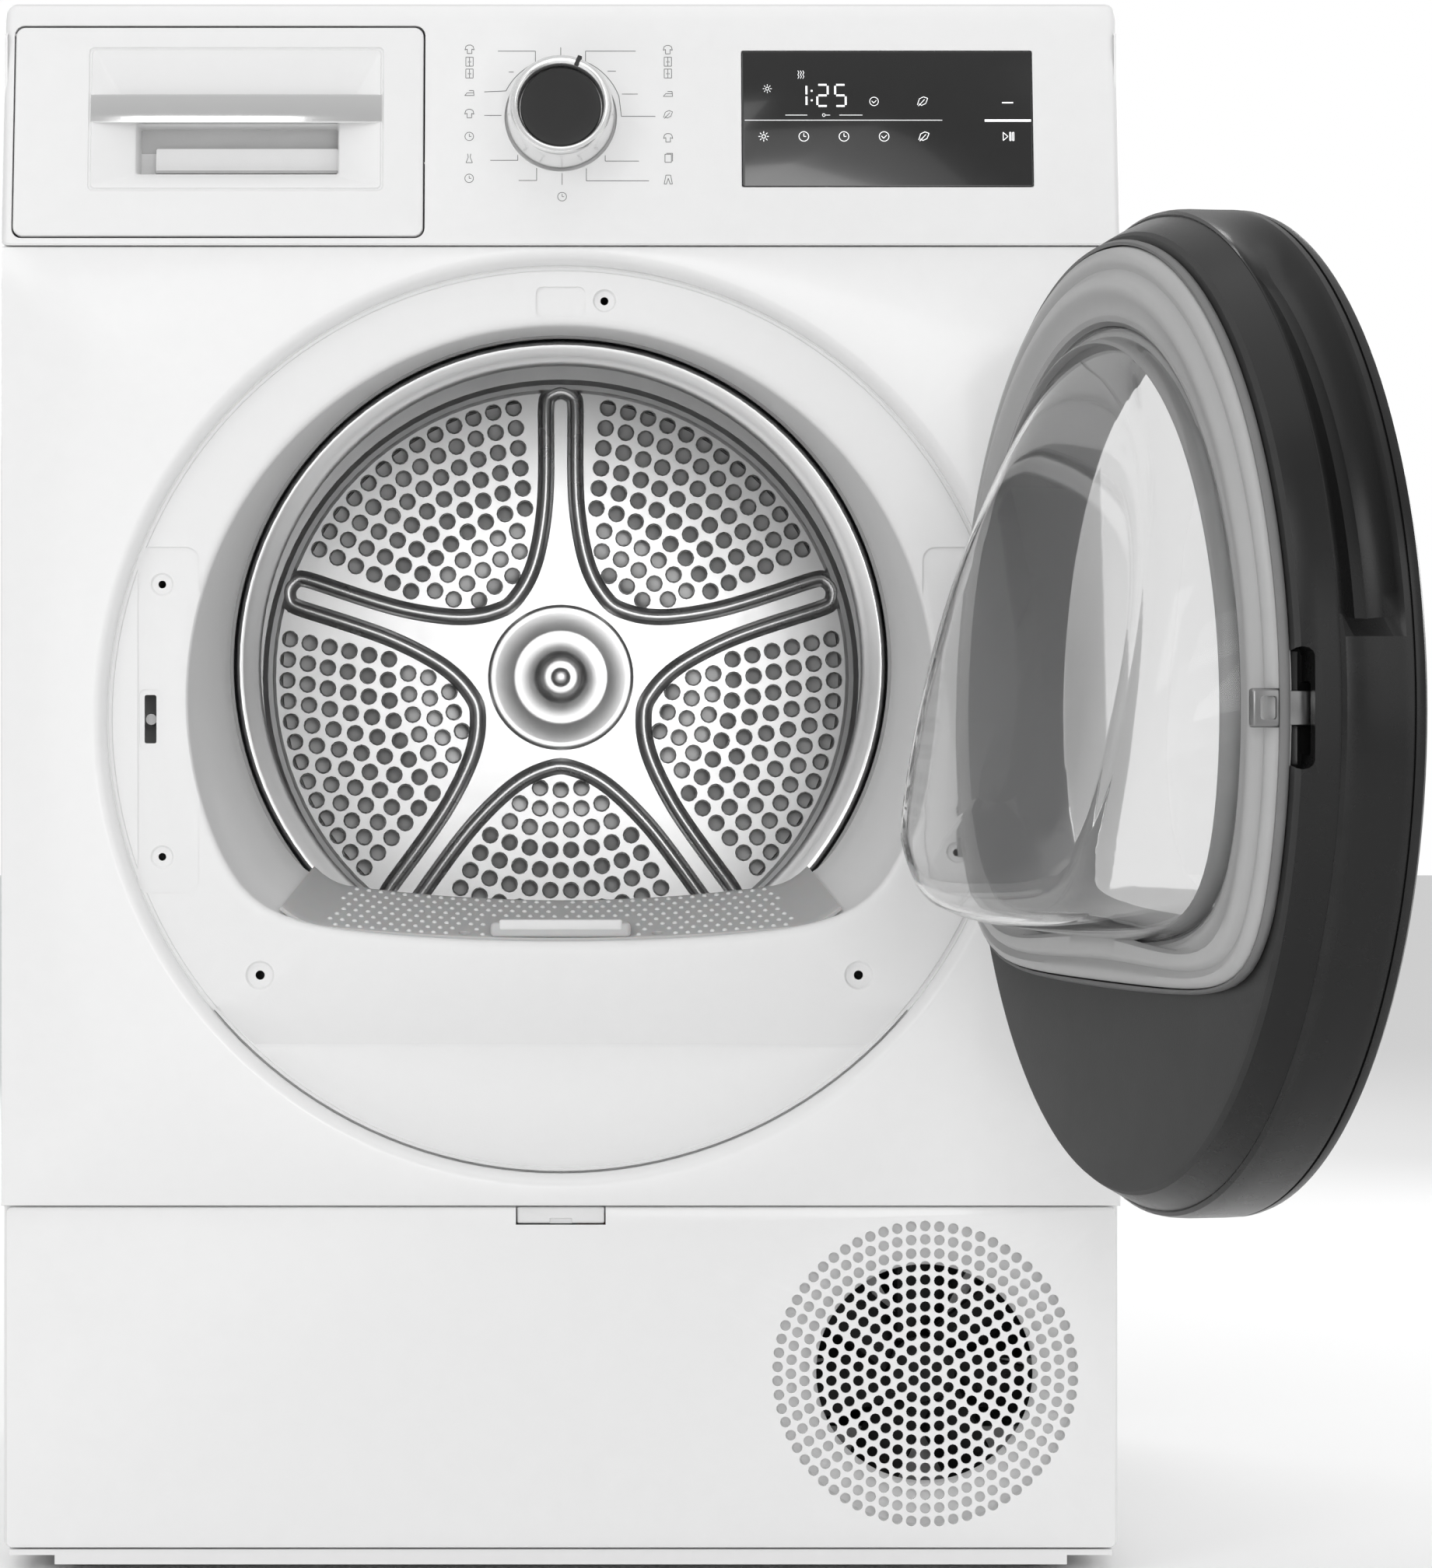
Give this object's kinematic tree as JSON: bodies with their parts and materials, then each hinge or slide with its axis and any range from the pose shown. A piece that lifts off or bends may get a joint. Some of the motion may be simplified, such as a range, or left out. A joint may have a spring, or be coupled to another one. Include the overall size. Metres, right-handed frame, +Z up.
{
  "type": "clothes dryer",
  "caption": "Front-loading condensing tumble dryer with a round bowl door, leaning control fascia, condensate drawer, lift-out fluff filter and a vented service flap.",
  "frame": {"origin": "on the floor, under the middle of the body (not of the open door), 4 mm below the centre pad of the base pan", "axes": "+Z up; the front with the door faces -Y; +X is to the right of a person facing the front, the side the door is hinged on"},
  "size_m": [0.6732, 1.1151, 0.842],
  "materials": {
    "steel_white": "white enamel, satin",
    "plastic_white": "white moulded, fine grain",
    "plastic_black": "gloss black",
    "plastic_dark": "dark grey matte",
    "plastic_grey": "light grey satin",
    "steel": "stainless, brushed and polished",
    "chrome": "bright",
    "copper": "bare copper tube",
    "aluminium": "bare",
    "rubber": "black elastomer",
    "clear": "clear moulding",
    "glass_pane": "clear tempered",
    "board": "solder mask",
    "worktop": "white laminate",
    "iron": "black painted steel shell"
  },
  "bodies": {
    "cabinet": {"side_panel_left": "steel_white", "side_panel_right": "steel_white", "back_panel": "steel_white", "front_panel": "steel_white", "worktop": "worktop", "loading_frame": "plastic_white", "control_fascia": "plastic_white", "cord_inlet": "plastic_black", "display_pane": "plastic_black", "cooling_fan_frame": "plastic_black", "condensate_pump": "plastic_black", "drain_outlet": "plastic_grey", "rear_air_duct": "plastic_grey", "latch_housing": "plastic_grey", "front_seal": "rubber", "drive_belt": "rubber", "control_board": "board", "rear_bearing": "steel", "hinge_bracket": "steel", "drive_motor": "aluminium", "evaporator": "aluminium", "condenser": "aluminium", "air_fan_housing": "plastic_dark", "base_pan": "plastic_dark", "compressor": "iron", "refrigerant_pipe": "copper"},
    "drum": {"drum_shell": "steel", "drum_rear_wall": "steel", "drum_shaft": "steel", "drum_lifter_1": "plastic_grey", "drum_lifter_2": "plastic_grey", "drum_lifter_3": "plastic_grey"},
    "door": {"door_frame": "plastic_black", "door_pane": "glass_pane", "door_inner_flange": "plastic_grey", "door_seal": "rubber", "door_bowl": "clear", "door_hook": "steel", "door_hinge_arm": "steel"},
    "knob": {"programme_knob": "chrome", "knob_cap": "plastic_dark"},
    "drawer": {"drawer_front": "plastic_white", "tank_lid": "plastic_white", "drawer_grip_bar": "chrome", "tank_body": "plastic_grey"},
    "filter": {"filter_frame": "plastic_grey", "filter_mesh": "plastic_grey"},
    "flap": {"service_flap": "plastic_white"},
    "flap_catch": {"flap_latch": "plastic_white"},
    "switch_plunger": {"latch_plunger": "plastic_grey"},
    "cooling_rotor": {"cooling_fan": "plastic_dark"},
    "motor_rotor": {"motor_pulley": "steel", "air_fan": "plastic_black"},
    "idler": {"idler_pulley": "plastic_black"},
    "roller_left": {"support_roller_left": "rubber"},
    "roller_right": {"support_roller_right": "rubber"},
    "foot_fl": {"foot_front_left": "plastic_black"},
    "foot_fr": {"foot_front_right": "plastic_black"},
    "foot_rl": {"foot_rear_left": "plastic_black"},
    "foot_rr": {"foot_rear_right": "plastic_black"}
  },
  "joints": [
    {"name": "door_swing", "type": "hinge", "parent": "cabinet", "child": "door", "pos_m": [0.245, -0.3395, 0.4565], "axis": [0, 0, 1], "range_deg": [-103.3, 70]},
    {"name": "drum_spin", "type": "hinge", "parent": "cabinet", "child": "drum", "pos_m": [0, 0, 0.487], "axis": [0, 1, 0], "continuous": true},
    {"name": "motor_spin", "type": "hinge", "parent": "cabinet", "child": "motor_rotor", "pos_m": [0.17, 0, 0.118], "axis": [0, 1, 0], "continuous": true},
    {"name": "idler_spin", "type": "hinge", "parent": "cabinet", "child": "idler", "pos_m": [0.24247, 0, 0.25597], "axis": [0, 1, 0], "continuous": true},
    {"name": "roller_left_spin", "type": "hinge", "parent": "cabinet", "child": "roller_left", "pos_m": [-0.18163, 0, 0.23701], "axis": [0, 1, 0], "continuous": true},
    {"name": "roller_right_spin", "type": "hinge", "parent": "cabinet", "child": "roller_right", "pos_m": [0.18163, 0, 0.23701], "axis": [0, 1, 0], "continuous": true},
    {"name": "cooling_fan_spin", "type": "hinge", "parent": "cabinet", "child": "cooling_rotor", "pos_m": [0.195, 0, 0.106], "axis": [0, 1, 0], "continuous": true},
    {"name": "knob_turn", "type": "hinge", "parent": "cabinet", "child": "knob", "pos_m": [0, -0.28969, 0.7793], "axis": [0, -0.986, 0.1668], "continuous": true},
    {"name": "flap_open", "type": "hinge", "parent": "cabinet", "child": "flap", "pos_m": [0, -0.2945, 0.013], "axis": [1, 0, 0], "range_deg": [0, 90]},
    {"name": "flap_latch_press", "type": "slide", "parent": "flap", "child": "flap_catch", "axis": [0, 0, -1], "range_m": [0, 0.005], "stiffness_N_per_m": 300},
    {"name": "drawer_slide", "type": "slide", "parent": "cabinet", "child": "drawer", "axis": [0, -1, 0], "range_m": [0, 0.33]},
    {"name": "filter_lift", "type": "slide", "parent": "cabinet", "child": "filter", "axis": [0, 0, 1], "range_m": [0, 0.12]},
    {"name": "door_switch_press", "type": "slide", "parent": "cabinet", "child": "switch_plunger", "axis": [0, 1, 0], "range_m": [0, 0.003], "stiffness_N_per_m": 200},
    {"name": "foot_fl_turn", "type": "hinge", "parent": "cabinet", "child": "foot_fl", "pos_m": [-0.255, -0.252, 0], "axis": [0, 0, 1], "range_deg": [0, 2880]},
    {"name": "foot_fr_turn", "type": "hinge", "parent": "cabinet", "child": "foot_fr", "pos_m": [0.255, -0.252, 0], "axis": [0, 0, 1], "range_deg": [0, 2880]},
    {"name": "foot_rl_turn", "type": "hinge", "parent": "cabinet", "child": "foot_rl", "pos_m": [-0.255, 0.252, 0], "axis": [0, 0, 1], "range_deg": [0, 2880]},
    {"name": "foot_rr_turn", "type": "hinge", "parent": "cabinet", "child": "foot_rr", "pos_m": [0.255, 0.252, 0], "axis": [0, 0, 1], "range_deg": [0, 2880]}
  ],
  "couplings": [
    {"joint": "motor_spin", "follows": "drum_spin", "ratio": 20.604},
    {"joint": "idler_spin", "follows": "drum_spin", "ratio": -16.791},
    {"joint": "roller_left_spin", "follows": "drum_spin", "ratio": -9.2667},
    {"joint": "roller_right_spin", "follows": "drum_spin", "ratio": -9.2667}
  ]
}
